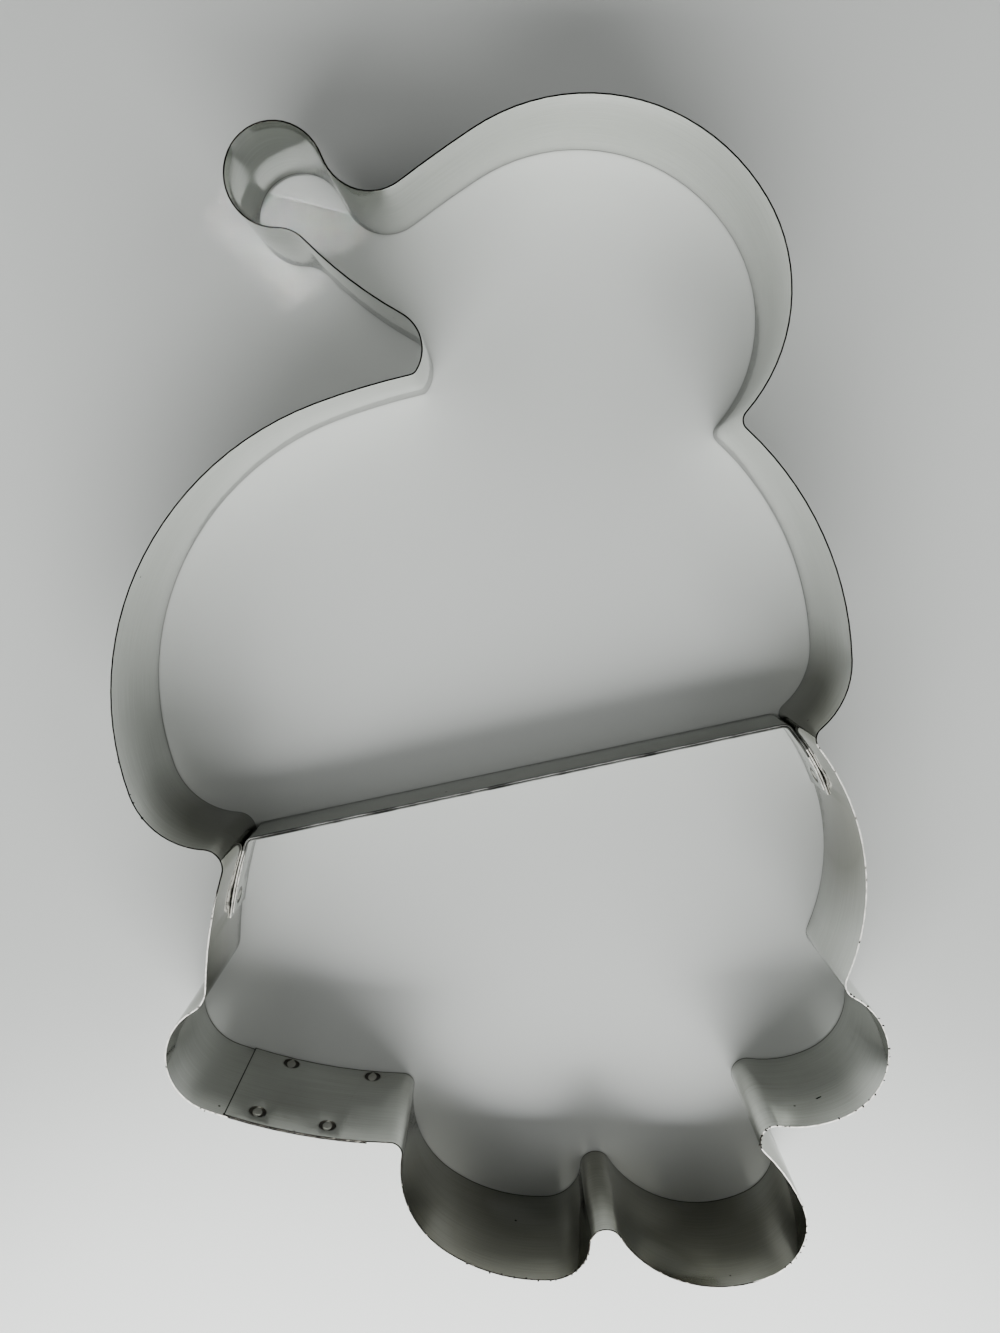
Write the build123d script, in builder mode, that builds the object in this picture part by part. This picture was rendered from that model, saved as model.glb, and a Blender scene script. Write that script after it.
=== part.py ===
from build123d import *
from collections import namedtuple
from math import acos, atan2, cos, degrees, hypot, radians, sin
import os

os.makedirs("parts", exist_ok=True)

# A cookie cutter: one strip of tinplate bent into the outline of a figure in a
# bobble hat, with a divider welded across its waist. +Z is up, the cutting edge
# is at Z = 0 and +Y points to the hat. Lengths are in mm and angles in degrees.

# Strip metal
band_sheet = 0.3
band_height = 25.0
divider_sheet = 0.4
divider_height = 11.0
stiffener_height = 6.5
weld_gap = 0.05

# Lap of the outer band below the left hand
lap_start = 4.5
lap_length = 28.2

# Divider
divider_tilt = 12.4
divider_bend_radius = 2.0
tab_seat = 14.5
stiffener_step_back = 1.2

# Spot welds
nugget_diameter = 3.4
nugget_crown_diameter = 1.6
nugget_dent = 0.08
nugget_skin = 0.02
band_weld_low_height = 2.3
band_weld_low_start = 1.9
band_weld_low_spacing = 17.7
band_weld_high_height = 21.4
band_weld_high_start = 8.3
band_weld_high_spacing = 14.0
tab_weld_height = 8.0
tab_weld_inset = 4.0

# Places on the drawing are measured from the middle of the divider, and radii
# to the middle of the sheet. A tilt is how far a rim's outward facing is turned
# from straight left, right, up or down the drawing, and a turn is how far one
# round bends before the next one starts.
hem_rim = (-44.0, -65.5)
hem_tilt = 12.5
hem_radius = 111.0
hem_turn = 8.0
left_hand_radius = 11.1
coat_left_rim = (-56.2, -23.0)
coat_left_tilt = 11.5
coat_left_radius = 93.0
coat_right_rim = (65.2, -28.0)
coat_right_tilt = 12.0
coat_right_radius = 45.7
right_hand_place = (58.6, -50.1)
right_hand_radius = 13.5
right_palm_tilt = 28.0
right_palm_radius = 21.7

head_left_rim = (-71.9, 28.0)
head_left_tilt = 11.0
head_left_radius = 56.0
cheek_left_turn = 28.0
cheek_left_radius = 14.8
head_left_turn = 18.5
brow_radius = 59.0
brow_turn = 40.5
head_top_radius = 134.0
head_right_rim = (58.2, 41.6)
head_right_tilt = 19.3
head_right_radius = 60.4
head_right_turn = 15.0
cheek_right_radius = 15.5

hat_eave_tilt = 33.0
hat_underside_rim = (-39.5, 102.8)
hat_underside_slope = 49.0
hat_underside_radius = 73.0
bobble_place = (-40.4, 109.2)
bobble_radius = 8.6
crown_place = (12.6, 85.4)
crown_radius = 36.6
crown_slope_tilt = 32.0
crown_slope_radius = 240.0
crown_back_tilt = 33.0
crown_back_radius = 29.7

right_foot_place = (46.6, -85.8)
right_foot_radius = 11.4
right_ankle_tilt = 24.0
right_ankle_radius = 37.0
right_sole_tilt = 27.0
right_sole_radius = 23.5
right_sole_turn = 66.0
right_instep_radius = 21.5
left_toe_place = (7.6, -89.2)
left_toe_radius = 8.0
left_sole_tilt = 2.5
left_sole_radius = 33.0
left_sole_turn = 38.0
left_heel_radius = 20.7

# Inward bends between the rounds
left_cuff_radius = 5.5
left_waist_radius = 3.6
nook_radius = 1.7
hat_eave_radius = 6.7
bobble_lower_radius = 6.2
saddle_radius = 8.6
nape_radius = 2.0
right_waist_radius = 2.5
right_cuff_radius = 3.0
right_hem_radius = 3.2
crotch_radius = 3.2
left_hem_radius = 2.4

right, up, left, down = (90 * quarter for quarter in range(4))
joined_within = 0.001

# A round is an arc of the strip: +1 bends clockwise seen from above, round the
# inside of the figure, and -1 the other way, round the outside.
Round = namedtuple("Round", "x y radius bend")
Turn = namedtuple("Turn", "round start end")


def at(x, y, distance, facing):
    return x + distance * cos(radians(facing)), y + distance * sin(radians(facing))


def facing_from(a, b):
    return degrees(atan2(b.y - a.y, b.x - a.x))


# A large round, given by a point on its rim
def flank(rim, facing, radius):
    return Round(*at(*rim, -radius, facing), radius, 1)


# A round that runs on smoothly from another at a facing, bent the same way
def run_on(other, facing, radius):
    return Round(*at(other.x, other.y, other.radius - radius, facing), radius, other.bend)


# An inward bend that touches the rounds before and after it
def inward(before, after, radius):
    reach_before = radius + before.bend * before.radius
    reach_after = radius + after.bend * after.radius
    span = hypot(after.x - before.x, after.y - before.y)
    share = (reach_before**2 + span**2 - reach_after**2) / (2 * reach_before * span)
    facing = facing_from(before, after) + degrees(acos(share))
    return Round(*at(before.x, before.y, reach_before, facing), radius, -1)


# Two inward bends in a row: a tight one after a round, run on by a wide one that
# touches the next round. They meet at a facing.
def inward_pair(before, after, tight_radius, wide_radius, facing):
    apart = wide_radius - tight_radius
    shifted = Round(*at(before.x, before.y, -apart, facing), before.radius - apart, 1)
    wide = inward(shifted, after, wide_radius)
    return run_on(wide, facing, tight_radius), wide


# Where two touching rounds meet, as a facing from each of their middles
def meeting(a, b):
    if a.bend != b.bend:
        return facing_from(a, b), facing_from(b, a)
    larger, smaller = (a, b) if a.radius > b.radius else (b, a)
    return facing_from(larger, smaller), facing_from(larger, smaller)


# The strip's turns through touching rounds, between two end facings
def strip_turns(rounds, first_facing, last_facing):
    meetings = [meeting(a, b) for a, b in zip(rounds, rounds[1:])]
    starts = [first_facing] + [after for before, after in meetings]
    ends = [before for before, after in meetings] + [last_facing]
    return [Turn(*turn) for turn in zip(rounds, starts, ends)]


# One face of a strip: its turns, moved outwards, with straight runs between them
def draw_face(turns, outwards):
    ends = []
    for turn in turns:
        radius = turn.round.radius + turn.round.bend * outwards
        swing = (turn.round.bend * (turn.start - turn.end)) % 360
        middle = (turn.round.x, turn.round.y)
        arc = CenterArc(middle, radius, turn.start, -turn.round.bend * swing)
        if ends and (arc @ 0 - ends[-1]).length > joined_within:
            Line(ends[-1], arc @ 0)
        ends += [arc @ 0, arc @ 1]
    return ends[0], ends[-1]


# The closed plan of a strip between two of its faces
def draw_strip(turns, outer, inner):
    outer_start, outer_end = draw_face(turns, outer)
    inner_start, inner_end = draw_face(turns, inner)
    Line(outer_start, inner_start)
    Line(outer_end, inner_end)


# Left hand. The outer end of the strip laps over its inner end on the hem.
lap_step = band_sheet + weld_gap
hem_facing = down - hem_tilt
hem = flank(hem_rim, hem_facing, hem_radius)
hem_lap = Round(hem.x, hem.y, hem_radius + lap_step, 1)
left_hand = run_on(hem_lap, hem_facing - hem_turn, left_hand_radius)

# Coat
coat_left = flank(coat_left_rim, left - coat_left_tilt, coat_left_radius)
coat_right = flank(coat_right_rim, right - coat_right_tilt, coat_right_radius)
left_cuff = inward(left_hand, coat_left, left_cuff_radius)

# Head
head_left_facing = left - head_left_tilt
head_left = flank(head_left_rim, head_left_facing, head_left_radius)
cheek_left = run_on(head_left, head_left_facing + cheek_left_turn, cheek_left_radius)
brow_facing = head_left_facing - head_left_turn
brow = run_on(head_left, brow_facing, brow_radius)
head_top = run_on(brow, brow_facing - brow_turn, head_top_radius)
head_right_facing = right + head_right_tilt
head_right = flank(head_right_rim, head_right_facing, head_right_radius)
cheek_right = run_on(head_right, head_right_facing - head_right_turn, cheek_right_radius)
left_waist = inward(coat_left, cheek_left, left_waist_radius)
right_waist = inward(cheek_right, coat_right, right_waist_radius)

# Hat
hat_underside = flank(hat_underside_rim, down - hat_underside_slope, hat_underside_radius)
nook, hat_eave = inward_pair(
    head_top, hat_underside, nook_radius, hat_eave_radius, right - hat_eave_tilt
)
bobble = Round(*bobble_place, bobble_radius, 1)
bobble_lower = inward(hat_underside, bobble, bobble_lower_radius)
crown = Round(*crown_place, crown_radius, 1)
crown_slope = run_on(crown, up + crown_slope_tilt, crown_slope_radius)
crown_back = run_on(crown, right + crown_back_tilt, crown_back_radius)
saddle = inward(bobble, crown_slope, saddle_radius)
nape = inward(crown_back, head_right, nape_radius)

# Right hand
right_hand = Round(*right_hand_place, right_hand_radius, 1)
right_palm = run_on(right_hand, down + right_palm_tilt, right_palm_radius)
right_cuff = inward(coat_right, right_hand, right_cuff_radius)

# Feet
right_foot = Round(*right_foot_place, right_foot_radius, 1)
right_ankle = run_on(right_foot, right + right_ankle_tilt, right_ankle_radius)
right_sole_facing = down + right_sole_tilt
right_sole = run_on(right_foot, right_sole_facing, right_sole_radius)
right_instep = run_on(right_sole, right_sole_facing - right_sole_turn, right_instep_radius)
right_hem = inward(right_palm, right_ankle, right_hem_radius)
left_toe = Round(*left_toe_place, left_toe_radius, 1)
left_sole_facing = down + left_sole_tilt
left_sole = run_on(left_toe, left_sole_facing, left_sole_radius)
left_heel = run_on(left_sole, left_sole_facing - left_sole_turn, left_heel_radius)
crotch = inward(right_instep, left_toe, crotch_radius)
left_hem = inward(left_heel, hem, left_hem_radius)

band_rounds = [
    hem_lap, left_hand, left_cuff, coat_left, left_waist, cheek_left, head_left,
    brow, head_top, nook, hat_eave, hat_underside, bobble_lower, bobble, saddle,
    crown_slope, crown, crown_back, nape, head_right, cheek_right, right_waist,
    coat_right, right_cuff, right_hand, right_palm, right_hem, right_ankle,
    right_foot, right_sole, right_instep, crotch, left_toe, left_sole, left_heel,
    left_hem, hem,
]
outer_end_facing = facing_from(hem, left_hem) - degrees(lap_start / hem_radius)
inner_end_facing = outer_end_facing - degrees(lap_length / hem_radius)
band_turns = strip_turns(band_rounds, outer_end_facing, inner_end_facing)

# The finished cutter stands over its own middle
with BuildLine() as outline:
    draw_face(band_turns, band_sheet / 2)
outline_middle = outline.line.bounding_box().center()
base = Plane(origin=(-outline_middle.X, -outline_middle.Y, 0))


# The round of a coat's side that a tab's outer face lies on
def tab_round(coat):
    return coat._replace(radius=coat.radius - band_sheet / 2 - weld_gap)


# The divider's bend between its bar and the straight start of a tab
def divider_bend(tab, tab_facing):
    bar_facing = up + divider_tilt
    middle_along = tab.x * cos(radians(tab_facing)) + tab.y * sin(radians(tab_facing))
    tab_reach = middle_along + tab.radius - divider_bend_radius
    bar_reach = -divider_bend_radius
    across = sin(radians(bar_facing - tab_facing))
    x = tab_reach * sin(radians(bar_facing)) - bar_reach * sin(radians(tab_facing))
    y = bar_reach * cos(radians(tab_facing)) - tab_reach * cos(radians(bar_facing))
    return Round(x / across, y / across, divider_bend_radius, 1)


left_tab = tab_round(coat_left)
right_tab = tab_round(coat_right)
left_tab_facing = facing_from(coat_left, left_waist)
right_tab_facing = facing_from(coat_right, right_waist)
left_bend = divider_bend(left_tab, left_tab_facing)
right_bend = divider_bend(right_tab, right_tab_facing)


# The divider's turns, with the parts of its tabs that lie on the coat's sides
def divider_turns(seat):
    bar_facing = up + divider_tilt
    left_end = left_tab_facing + degrees(seat / left_tab.radius)
    right_end = right_tab_facing - degrees(seat / right_tab.radius)
    return [
        Turn(left_tab, left_end, left_tab_facing),
        Turn(left_bend, left_tab_facing, bar_facing),
        Turn(right_bend, bar_facing, right_tab_facing),
        Turn(right_tab, right_tab_facing, right_end),
    ]


# A plane square to a round at a facing, looking outwards from it
def weld_plane(wall, radius, facing, height):
    place = at(wall.x, wall.y, radius, facing)
    outward = Vector(*at(0, 0, 1, facing), 0)
    return Plane(
        origin=base.from_local_coords((*place, height)),
        x_dir=(0, 0, 1),
        z_dir=outward,
    )


band_weld_depth = 2 * band_sheet + weld_gap
tab_weld_depth = band_sheet + 2 * divider_sheet + 2 * weld_gap
band_weld_radius = hem_radius + lap_step / 2
band_weld_rows = [
    (band_weld_low_height, band_weld_low_start, band_weld_low_spacing),
    (band_weld_high_height, band_weld_high_start, band_weld_high_spacing),
]
band_weld_planes = [
    weld_plane(hem, band_weld_radius, outer_end_facing - degrees(step / hem_radius), height)
    for height, start, spacing in band_weld_rows
    for step in (start, start + spacing)
]
weld_along = tab_seat - tab_weld_inset
tab_weld_sides = [
    (coat_left, left_tab_facing + degrees(weld_along / coat_left.radius)),
    (coat_right, right_tab_facing - degrees(weld_along / coat_right.radius)),
]
tab_weld_planes = [
    weld_plane(coat, coat.radius + (band_sheet - tab_weld_depth) / 2, facing, tab_weld_height)
    for coat, facing in tab_weld_sides
]


# Half of a spot weld's section: a dented ring about a low crown, at both ends
def draw_nugget(depth):
    crown = nugget_crown_diameter / 2
    edge = nugget_diameter / 2
    ring = (edge - crown) / 2
    end = depth / 2 - nugget_skin
    upper = [(0, end), (crown, end), (crown + ring / 2, end - nugget_dent)]
    upper += [(edge - ring / 2, end - nugget_dent), (edge, end)]
    lower = [(x, -y) for x, y in reversed(upper)]
    Polyline(*upper, *lower, close=True)


# Outer band: one strip whose ends lap below the left hand
with BuildPart() as outer_band:
    with BuildSketch(base):
        with BuildLine():
            draw_strip(band_turns, band_sheet / 2, -band_sheet / 2)
        make_face()
    extrude(amount=band_height)
    with BuildSketch(*band_weld_planes):
        Circle(nugget_diameter / 2)
    extrude(amount=band_weld_depth, both=True, mode=Mode.SUBTRACT)
    with BuildSketch(*tab_weld_planes):
        Circle(nugget_diameter / 2)
    extrude(amount=tab_weld_depth, both=True, mode=Mode.SUBTRACT)

# Divider: a taller leaf across the waist, with a tab bent down each side
with BuildPart() as divider_strip:
    with BuildSketch(base):
        with BuildLine():
            draw_strip(divider_turns(tab_seat), 0, -divider_sheet)
        make_face()
    extrude(amount=divider_height)
    with BuildSketch(*tab_weld_planes):
        Circle(nugget_diameter / 2)
    extrude(amount=tab_weld_depth, both=True, mode=Mode.SUBTRACT)

# Divider stiffener: a lower leaf inside the first, level with its upper edge
with BuildPart() as divider_stiffener:
    with BuildSketch(base.offset(divider_height - stiffener_height)):
        with BuildLine():
            leaf_outside = -divider_sheet - weld_gap
            stiffener_turns = divider_turns(tab_seat - stiffener_step_back)
            draw_strip(stiffener_turns, leaf_outside, leaf_outside - divider_sheet)
        make_face()
    extrude(amount=stiffener_height)
    with BuildSketch(*tab_weld_planes):
        Circle(nugget_diameter / 2)
    extrude(amount=tab_weld_depth, both=True, mode=Mode.SUBTRACT)

# Spot welds through both layers of the lap
with BuildPart() as band_weld_nuggets:
    for plane in band_weld_planes:
        with BuildSketch(Plane(origin=plane.origin, x_dir=plane.y_dir, z_dir=-plane.x_dir)):
            with BuildLine():
                draw_nugget(band_weld_depth)
            make_face()
        revolve(axis=Axis(plane.origin, plane.z_dir))

# Spot welds through the wall and both leaves, one in each tab
with BuildPart() as tab_weld_nuggets:
    for plane in tab_weld_planes:
        with BuildSketch(Plane(origin=plane.origin, x_dir=plane.y_dir, z_dir=-plane.x_dir)):
            with BuildLine():
                draw_nugget(tab_weld_depth)
            make_face()
        revolve(axis=Axis(plane.origin, plane.z_dir))

outer_band.part.label = "outer_band"
divider_strip.part.label = "divider_strip"
divider_stiffener.part.label = "divider_stiffener"
band_weld_nuggets.part.label = "band_weld_nuggets"
tab_weld_nuggets.part.label = "tab_weld_nuggets"

for piece in (outer_band, divider_strip, divider_stiffener, band_weld_nuggets, tab_weld_nuggets):
    export_step(piece.part, f"parts/{piece.part.label}.step")
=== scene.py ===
import math
import random

import bpy
import numpy as np
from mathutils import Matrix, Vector


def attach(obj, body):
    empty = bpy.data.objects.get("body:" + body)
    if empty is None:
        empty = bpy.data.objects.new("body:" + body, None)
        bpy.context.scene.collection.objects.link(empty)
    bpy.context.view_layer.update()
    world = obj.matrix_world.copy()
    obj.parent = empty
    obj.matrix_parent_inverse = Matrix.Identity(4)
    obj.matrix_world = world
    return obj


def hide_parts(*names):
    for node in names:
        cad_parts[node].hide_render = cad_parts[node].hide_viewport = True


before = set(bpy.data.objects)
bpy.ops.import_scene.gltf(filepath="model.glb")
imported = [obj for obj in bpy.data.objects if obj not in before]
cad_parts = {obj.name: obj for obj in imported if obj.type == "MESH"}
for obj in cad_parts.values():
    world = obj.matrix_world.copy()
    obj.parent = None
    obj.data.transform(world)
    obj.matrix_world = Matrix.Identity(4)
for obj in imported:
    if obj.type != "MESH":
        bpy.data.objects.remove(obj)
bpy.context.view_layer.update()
mm = 0.001

# Outer band: one strip of bright tinplate, 25 mm high and 0.3 mm thick, slit to
# width, bent round pins and spot-welded where its two ends lap. Slitting leaves
# its cut edges slightly rounded, with the bare steel showing.


def linear(hex_colour):
    """An sRGB hex colour as linear red, green, blue and alpha."""
    channels = [int(hex_colour[i:i + 2], 16) / 255 for i in (1, 3, 5)]
    return [c / 12.92 if c <= 0.04045 else ((c + 0.055) / 1.055) ** 2.4 for c in channels] + [1]


def add_node(tree, kind, links=None, stops=(), **settings):
    """Add a node with its settings, its sockets' links or values, and its ramp's stops."""
    node = tree.nodes.new(kind)
    for name, value in settings.items():
        setattr(node, name, value)
    for socket, value in (links or {}).items():
        if isinstance(value, bpy.types.NodeSocket):
            tree.links.new(value, node.inputs[socket])
        else:
            node.inputs[socket].default_value = value
    for index, (position, colour) in enumerate(stops):
        elements = node.color_ramp.elements
        element = elements[index] if index < 2 else elements.new(position)
        element.position = position
        element.color = linear(colour)
    return node


def bare_finish(name, metallic, roughness):
    """A new material and its shader."""
    material = bpy.data.materials.new(name)
    material.use_nodes = True
    shader = material.node_tree.nodes["Principled BSDF"]
    shader.inputs["Metallic"].default_value = metallic
    shader.inputs["Roughness"].default_value = roughness
    return material, shader


# Points of one spot weld lie nearer to each other than this, and welds lie further apart
weld_reach = 4 * mm


def weld_marks(node_name):
    """The middle and the axis of each spot weld in a CAD node."""
    points = np.array([vertex.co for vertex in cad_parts[node_name].data.vertices])
    left = set(range(len(points)))
    marks = []
    while left:
        first = points[min(left)]
        near = [index for index in left if np.linalg.norm(points[index] - first) < weld_reach]
        middle = points[near].mean(axis=0)
        directions = np.linalg.eigh(np.cov((points[near] - middle).T))[1]
        marks.append((Vector(middle), Vector(directions[:, 0])))
        left -= set(near)
    return marks


lap_marks = weld_marks("band_weld_nuggets")
tab_marks = weld_marks("tab_weld_nuggets")

# Tinplate: cold-rolled steel under a bright tin coat. The rolls leave a fine
# grain along the strip, drawn coarser than the real one so that it shows, and
# bending leaves soft waves in what the sheet reflects. The tin has a few specks.
# Its colour is darkened towards the feet, in patches, as painted shade, and along
# the edge that stands on the table, as a painted contact shadow.
grain_pitch = 0.18 * mm
grain_run = 12 * mm
grain_depth = 0.003 * mm
wave_length = 22 * mm
wave_depth = 0.35 * mm
speck_spacing = 9 * mm
shade_from, shade_to = -66 * mm, -92 * mm
base_shadow_height = 0.45 * mm
seam_shadow_reach = 0.3 * mm


def tinplate(name, colour, roughness, heat_and_shade, seam=None):
    """Tinplate, tinted round heat marks and patches of painted shade (middle, reach and tint), and
    along a seam with painted shadow.
    """
    material, shader = bare_finish(name, metallic=1, roughness=roughness)
    tree = material.node_tree
    place = add_node(tree, "ShaderNodeTexCoord").outputs["Object"]
    heights = add_node(tree, "ShaderNodeSeparateXYZ", {0: place})

    grain_place = add_node(
        tree, "ShaderNodeMapping",
        {0: place, "Scale": (1 / grain_run, 1 / grain_run, 1 / grain_pitch)},
    ).outputs[0]
    grain = add_node(
        tree, "ShaderNodeTexNoise", {"Vector": grain_place, "Scale": 1, "Detail": 2}
    ).outputs[0]
    wave = add_node(
        tree, "ShaderNodeTexNoise", {"Vector": place, "Scale": 1 / wave_length, "Detail": 1}
    ).outputs[0]
    grain_bump = add_node(
        tree, "ShaderNodeBump", {"Strength": 0.3, "Distance": grain_depth, "Height": grain}
    ).outputs[0]
    bump = add_node(
        tree, "ShaderNodeBump",
        {"Strength": 1, "Distance": wave_depth, "Height": wave, "Normal": grain_bump},
    ).outputs[0]
    tree.links.new(bump, shader.inputs["Normal"])

    specks = add_node(
        tree, "ShaderNodeTexVoronoi", {"Vector": place, "Scale": 1 / speck_spacing}
    ).outputs["Distance"]
    # Painted shade: the colour is darkened towards the feet, in patches that follow the waves
    feet_shade = add_node(
        tree, "ShaderNodeMapRange", {0: heights.outputs["Y"], 1: shade_from, 2: shade_to}
    ).outputs[0]
    patchy_shade = add_node(
        tree, "ShaderNodeMath", {0: feet_shade, 1: wave}, operation="MULTIPLY"
    ).outputs[0]
    # Painted contact shadow: the colour is darkened along the lowest 0.45 mm of the wall
    base_shadow = add_node(
        tree, "ShaderNodeMath", {0: heights.outputs["Z"], 1: base_shadow_height}, operation="DIVIDE"
    ).outputs[0]
    tints = [
        (grain, [(0.3, "#ededeb"), (0.7, "#ffffff")]),
        (specks, [(0.018, "#4c4a45"), (0.035, "#ffffff")]),
        (patchy_shade, [(0.05, "#ffffff"), (0.5, "#b9b7af")]),
        (base_shadow, [(0.5, "#6b6963"), (1.0, "#ffffff")]),
    ]

    stains_and_shade = [(place, middle, reach, tint) for middle, reach, tint in heat_and_shade]
    # Painted shadow along the seam, over the cut end's darker steel
    if seam:
        plan = add_node(tree, "ShaderNodeMapping", {0: place, "Scale": (1, 1, 0)}).outputs[0]
        stains_and_shade.append((plan, seam, seam_shadow_reach, "#2b2924"))
    for point, middle, reach, tint in stains_and_shade:
        distance = add_node(
            tree, "ShaderNodeVectorMath", {0: point, 1: middle}, operation="DISTANCE"
        ).outputs["Value"]
        share = add_node(
            tree, "ShaderNodeMath", {0: distance, 1: reach}, operation="DIVIDE"
        ).outputs[0]
        tints.append((share, [(0.6, tint), (1.0, "#ffffff")]))

    tinted = linear(colour)
    for pattern, stops in tints:
        tint = add_node(tree, "ShaderNodeValToRGB", {0: pattern}, stops).outputs[0]
        tinted = add_node(
            tree, "ShaderNodeMix", {0: 1, 6: tinted, 7: tint},
            data_type="RGBA", blend_type="MULTIPLY",
        ).outputs[2]
    tree.links.new(tinted, shader.inputs["Base Color"])
    return material


# Cut edge: the bare steel where the sheet was slit, with nicks: dark torn steel painted darker
# still as shade, a bright painted highlight where the edge catches the light, or plain sheared
# steel
def slit_steel(name, nick_spacing, roughness, tones):
    material, shader = bare_finish(name, metallic=1, roughness=roughness)
    tree = material.node_tree
    place = add_node(tree, "ShaderNodeTexCoord").outputs["Object"]
    nicks = add_node(
        tree, "ShaderNodeTexNoise", {"Vector": place, "Scale": 1 / nick_spacing, "Detail": 2}
    ).outputs[0]
    steel = add_node(tree, "ShaderNodeValToRGB", {0: nicks}, tones).outputs[0]
    tree.links.new(steel, shader.inputs["Base Color"])
    return material


# The strip's inner end, whose cut edge shows as a dark seam on the hem: darker steel, and painted
# shadow of the gap
inner_end_near = Vector((-51.1, -66.8, 25.0)) * mm
corners = [vertex.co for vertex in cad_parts["outer_band"].data.vertices]
inner_end = min(corners, key=lambda corner: (corner - inner_end_near).length)
seam_line = (inner_end.x, inner_end.y, 0)

# The sheet is darkened close round each spot weld of the lap, and darkened for a
# wide way round the tabs, across the coat's sides, as painted shade
weld_heat_reach = 2.1 * mm
tab_shade_reach = 32 * mm
band_heat_and_shade = [(middle, weld_heat_reach, "#7d7a72") for middle, axis in lap_marks]
band_heat_and_shade += [(middle, tab_shade_reach, "#a09f98") for middle, axis in tab_marks]
band_metal = tinplate("rolled_tinplate", "#e0e2de", 0.12, band_heat_and_shade, seam_line)
# Dark torn steel, darkened further as painted shade
shaded_torn_metal = slit_steel(
    "shaded_torn_edge_steel", nick_spacing=0.9 * mm, roughness=0.25,
    tones=[(0.4, "#131210"), (0.62, "#2c2a26"), (0.72, "#85837c")],
)
# Painted highlight: bright steel where the cut edge catches the light
painted_highlight_metal = slit_steel(
    "painted_highlight_edge_steel", nick_spacing=1.2 * mm, roughness=0.6,
    tones=[(0.3, "#35332f"), (0.35, "#c0bfb9"), (0.6, "#e6e5df")],
)

# The slots of a sheet's metals, and how far up or down a face's normal leans on a
# cut edge. The rims of the tabs' weld holes lean too, but keep their tin.
tinned, shaded_torn, highlit_edge, sheared = range(4)
cut_lean = 0.3
weld_hole_reach = 2 * mm
merge_distance = 0.001 * mm
corner_angle = math.radians(50)
smooth_angle = math.radians(35)


def finished_sheet(name, node_name, metals, edge_round):
    """A copy of a CAD sheet, merged, with its cut edges rounded and coloured as dark torn steel
    with painted shade.
    """
    sheet = bpy.data.objects.new(name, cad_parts[node_name].data.copy())
    bpy.context.scene.collection.objects.link(sheet)
    bpy.ops.object.select_all(action="DESELECT")
    sheet.select_set(True)
    bpy.context.view_layer.objects.active = sheet
    sheet.data.materials.clear()
    for metal in metals:
        sheet.data.materials.append(metal)
    bpy.ops.mesh.customdata_custom_splitnormals_clear()
    bpy.ops.object.mode_set(mode="EDIT")
    bpy.ops.mesh.select_all(action="SELECT")
    bpy.ops.mesh.remove_doubles(threshold=merge_distance)
    bpy.ops.object.mode_set(mode="OBJECT")
    rounding = sheet.modifiers.new("rounded_cut", "BEVEL")
    rounding.width = edge_round
    rounding.segments = 3
    rounding.limit_method = "ANGLE"
    rounding.angle_limit = corner_angle
    bpy.ops.object.modifier_apply(modifier=rounding.name)
    # Cut faces take the dark torn steel with its painted shade, except round the tabs' weld holes
    for face in sheet.data.polygons:
        by_weld = any((face.center - middle).length < weld_hole_reach for middle, axis in tab_marks)
        cut = abs(face.normal.z) > cut_lean and not by_weld
        face.material_index = shaded_torn if cut else tinned
    bpy.ops.object.shade_smooth_by_angle(angle=smooth_angle)
    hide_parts(node_name)
    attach(sheet, "root")
    return sheet


strip = finished_sheet(
    "bent_strip", "outer_band", (band_metal, shaded_torn_metal, painted_highlight_metal), edge_round=0.06 * mm
)
# The cut edge is painted bright as a highlight on the coat's sides and the right hand: further
# out to the side than these x values, and below these y values, in mm
left_highlight_x, left_highlight_y = -55, -26
right_highlight_x, right_highlight_y = 49, -1
for face in strip.data.polygons:
    spot = face.center / mm
    on_left = spot.x < left_highlight_x and spot.y < left_highlight_y
    on_right = spot.x > right_highlight_x and spot.y < right_highlight_y
    if face.material_index == shaded_torn and (on_left or on_right):
        face.material_index = highlit_edge

# Divider: two leaves of greyer tinplate pressed together across the waist, the
# lower one a stiffener, with their ends bent down the coat's sides as tabs and
# spot-welded there. Their flat sheared edges are dark, their rounded sides darker
# as painted shade, and their flat edges on the tabs bright as a painted highlight.
divider_heat = [(middle, weld_heat_reach, "#96928a") for middle, axis in tab_marks]
divider_metal = tinplate("divider_tinplate", "#b9bbb6", 0.14, divider_heat)
sheared_metal = slit_steel(
    "sheared_leaf_steel", nick_spacing=5 * mm, roughness=0.4,
    tones=[(0.35, "#333432"), (0.65, "#80817e")],
)
divider_metals = (divider_metal, shaded_torn_metal, painted_highlight_metal, sheared_metal)
flat_lean = 0.95
left_tab_end, right_tab_end = -53 * mm, 59 * mm
for name, node_name in (("divider_leaf", "divider_strip"), ("stiffener_leaf", "divider_stiffener")):
    leaf = finished_sheet(name, node_name, divider_metals, edge_round=0.1 * mm)
    for face in leaf.data.polygons:
        # Flat cut edges on the tabs are a painted highlight; elsewhere they are plain sheared steel
        if face.material_index == shaded_torn and abs(face.normal.z) > flat_lean:
            on_tab = face.center.x < left_tab_end or face.center.x > right_tab_end
            face.material_index = highlit_edge if on_tab else sheared

# Spot welds: the sheets' own steel, fused between two round electrodes. Each one
# leaves a round mark: a ring that is dark on its two sides about a brighter
# middle, dulled by the heat.
mark_radius = 1.7 * mm


def weld_steel(name):
    material, shader = bare_finish(name, metallic=1, roughness=0.3)
    tree = material.node_tree
    share = add_node(tree, "ShaderNodeAttribute", attribute_name="from_middle").outputs["Fac"]
    steel = add_node(
        tree, "ShaderNodeValToRGB", {0: share},
        [(0.48, "#b4b3ac"), (0.58, "#45423c"), (1.0, "#2f2c28")],
    ).outputs[0]
    tree.links.new(steel, shader.inputs["Base Color"])
    return material


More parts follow.
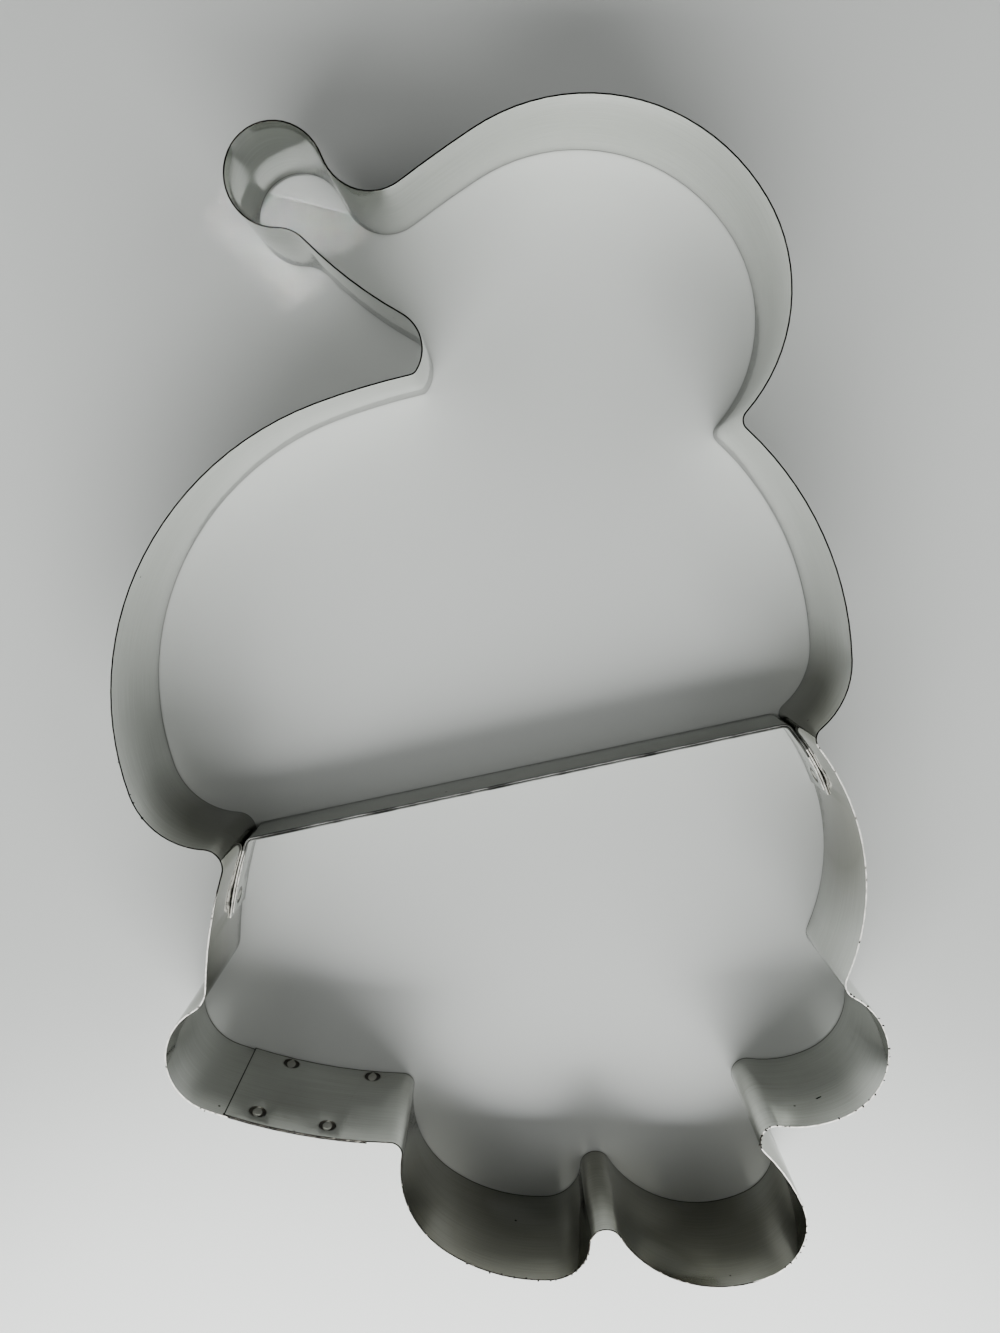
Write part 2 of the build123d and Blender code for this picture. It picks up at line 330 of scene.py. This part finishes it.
weld_metal = weld_steel("spot_weld_steel")
for name, node_name, marks in (
    ("lap_spot_welds", "band_weld_nuggets", lap_marks),
    ("tab_spot_welds", "tab_weld_nuggets", tab_marks),
):
    welds = bpy.data.objects.new(name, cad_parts[node_name].data.copy())
    bpy.context.scene.collection.objects.link(welds)
    welds.data.materials.clear()
    welds.data.materials.append(weld_metal)
    shares = []
    for vertex in welds.data.vertices:
        middle, axis = min(marks, key=lambda mark: (vertex.co - mark[0]).length)
        away = vertex.co - middle
        away -= away.dot(axis) * axis
        shares.append((away.length + away.xy.length) / 2 / mark_radius)
    welds.data.attributes.new("from_middle", "FLOAT", "POINT").data.foreach_set("value", shares)
    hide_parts(node_name)
    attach(welds, "root")

# Burrs: small crumbs of steel that slitting left on the upper cut edge, most of
# them on the feet and the right hand, a few on the lap and the left cheek, and
# three slivers that stick to the inner face of the sheet.
burr_places = [
    # lowest x and y, highest x and y in mm, and how many
    ((-10, -111, 21, -103), 24),
    ((52, -106, 60, -86), 14),
    ((48, -80, 75, -48), 30),
    ((-62, -82, -28, -72), 8),
    ((-74, -20, -66, -4), 5),
]
burr_radius = 0.2 * mm
burr_stretches = ((0.7, 1.8), (0.5, 1.1), (0.4, 0.9))
burr_jitter = 0.05 * mm
sliver_places = [(62, -75, 17), (-55, -29, 14), (60, -9, 15)]
sliver_radius = 0.5 * mm
sliver_stretch = (1.5, 0.35, 0.12)
sliver_jitter = 0.06 * mm
rim_height = 24.99 * mm
rim_overhang = 0.05 * mm


def steel_crumb(spot, subdivisions, radius, stretch, turn, jitter):
    bpy.ops.mesh.primitive_ico_sphere_add(subdivisions=subdivisions, radius=radius, location=spot)
    crumb = bpy.context.object
    crumb.scale = stretch
    crumb.rotation_euler = turn
    bpy.ops.object.transform_apply(location=True, rotation=True, scale=True)
    for vertex in crumb.data.vertices:
        vertex.co += jitter * Vector([random.uniform(-1, 1) for axis in range(3)])
    return crumb


random.seed(4)
rim = [
    vertex.co + rim_overhang * Vector((vertex.normal.x, vertex.normal.y, 0))
    for vertex in strip.data.vertices if vertex.co.z > rim_height
]
bpy.ops.object.select_all(action="DESELECT")
burrs = []
for (x_low, y_low, x_high, y_high), count in burr_places:
    near = [
        point for point in rim
        if x_low * mm < point.x < x_high * mm and y_low * mm < point.y < y_high * mm
    ]
    for spot in random.sample(near, min(count, len(near))):
        stretch = [random.uniform(least, most) for least, most in burr_stretches]
        turn = (0, 0, random.uniform(0, math.pi))
        burrs.append(steel_crumb(spot, 1, burr_radius, stretch, turn, burr_jitter))
for place in sliver_places:
    spot, normal = strip.closest_point_on_mesh(Vector(place) * mm)[1:3]
    turn = normal.to_track_quat("Z", "Y").to_euler()
    burrs.append(steel_crumb(spot, 2, sliver_radius, sliver_stretch, turn, sliver_jitter))
for burr in burrs:
    burr.select_set(True)
bpy.ops.object.join()
crumbs = bpy.context.object
crumbs.name = "slit_burrs"
crumbs.data.materials.clear()
crumbs.data.materials.append(shaded_torn_metal)
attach(crumbs, "root")

# Floor, light and camera: a plain pale sheet under the cutter, a large soft window
# light from the feet's side, smaller ones from both sides, a small lamp over the
# bobble that lights its inside, and the camera almost straight above.
floor_width = 1200 * mm
bpy.ops.mesh.primitive_plane_add(size=floor_width)
floor = bpy.context.object
floor.name = "floor"
# Satin paint, which mirrors the walls faintly
floor_paint, floor_shader = bare_finish("pale_floor", metallic=0.2, roughness=0.35)
floor_shader.inputs["Base Color"].default_value = linear("#c3c6c3")
floor.data.materials.append(floor_paint)


def soft_light(name, spot, target, width, height, power, fan=180):
    """An area light: its width and height in metres, power in watts and fan in degrees."""
    data = bpy.data.lights.new(name, "AREA")
    data.shape = "RECTANGLE"
    data.size = width
    data.size_y = height
    data.energy = power
    data.spread = math.radians(fan)
    lamp = bpy.data.objects.new(name, data)
    bpy.context.scene.collection.objects.link(lamp)
    lamp.location = spot
    lamp.rotation_euler = (Vector(target) - Vector(spot)).to_track_quat("-Z", "Y").to_euler()


cutter = (0, 0, 0)
bobble = (-43 * mm, 98 * mm, 0)
soft_light("window", (0, -900 * mm, 580 * mm), cutter, width=1.4, height=0.7, power=35)
soft_light("left", (-800 * mm, 100 * mm, 500 * mm), cutter, width=0.8, height=0.8, power=4)
soft_light("right", (800 * mm, 100 * mm, 500 * mm), cutter, width=0.8, height=0.8, power=4)
soft_light(
    "top", (-47 * mm, 102 * mm, 330 * mm), bobble, width=0.02, height=0.02, power=0.0008, fan=2.2
)

# The room's dim light, brighter towards the window
world = bpy.data.worlds.new("studio")
world.use_nodes = True
sky = world.node_tree
window_direction = (0, -0.8, 0.6)
direction = add_node(sky, "ShaderNodeTexCoord").outputs["Generated"]
towards_window = add_node(
    sky, "ShaderNodeVectorMath", {0: direction, 1: window_direction}, operation="DOT_PRODUCT"
).outputs["Value"]
glow = add_node(
    sky, "ShaderNodeValToRGB", {0: towards_window}, [(0.2, "#626462"), (0.95, "#e0e2e4")]
).outputs[0]
sky.links.new(glow, sky.nodes["Background"].inputs["Color"])
sky.nodes["Background"].inputs["Strength"].default_value = 0.3
bpy.context.scene.world = world

# The camera's place in mm and its turn in degrees
camera_place = (-0.5856, 37.6594, 204.08)
camera_turn = (-7.7728, 0.3406, 0)
camera_data = bpy.data.cameras.new("camera")
camera_data.lens = 27
camera_data.sensor_width = 36
camera_data.clip_start = 0.01
camera = bpy.data.objects.new("camera", camera_data)
bpy.context.scene.collection.objects.link(camera)
camera.location = [distance * mm for distance in camera_place]
camera.rotation_euler = [math.radians(angle) for angle in camera_turn]
bpy.context.scene.camera = camera
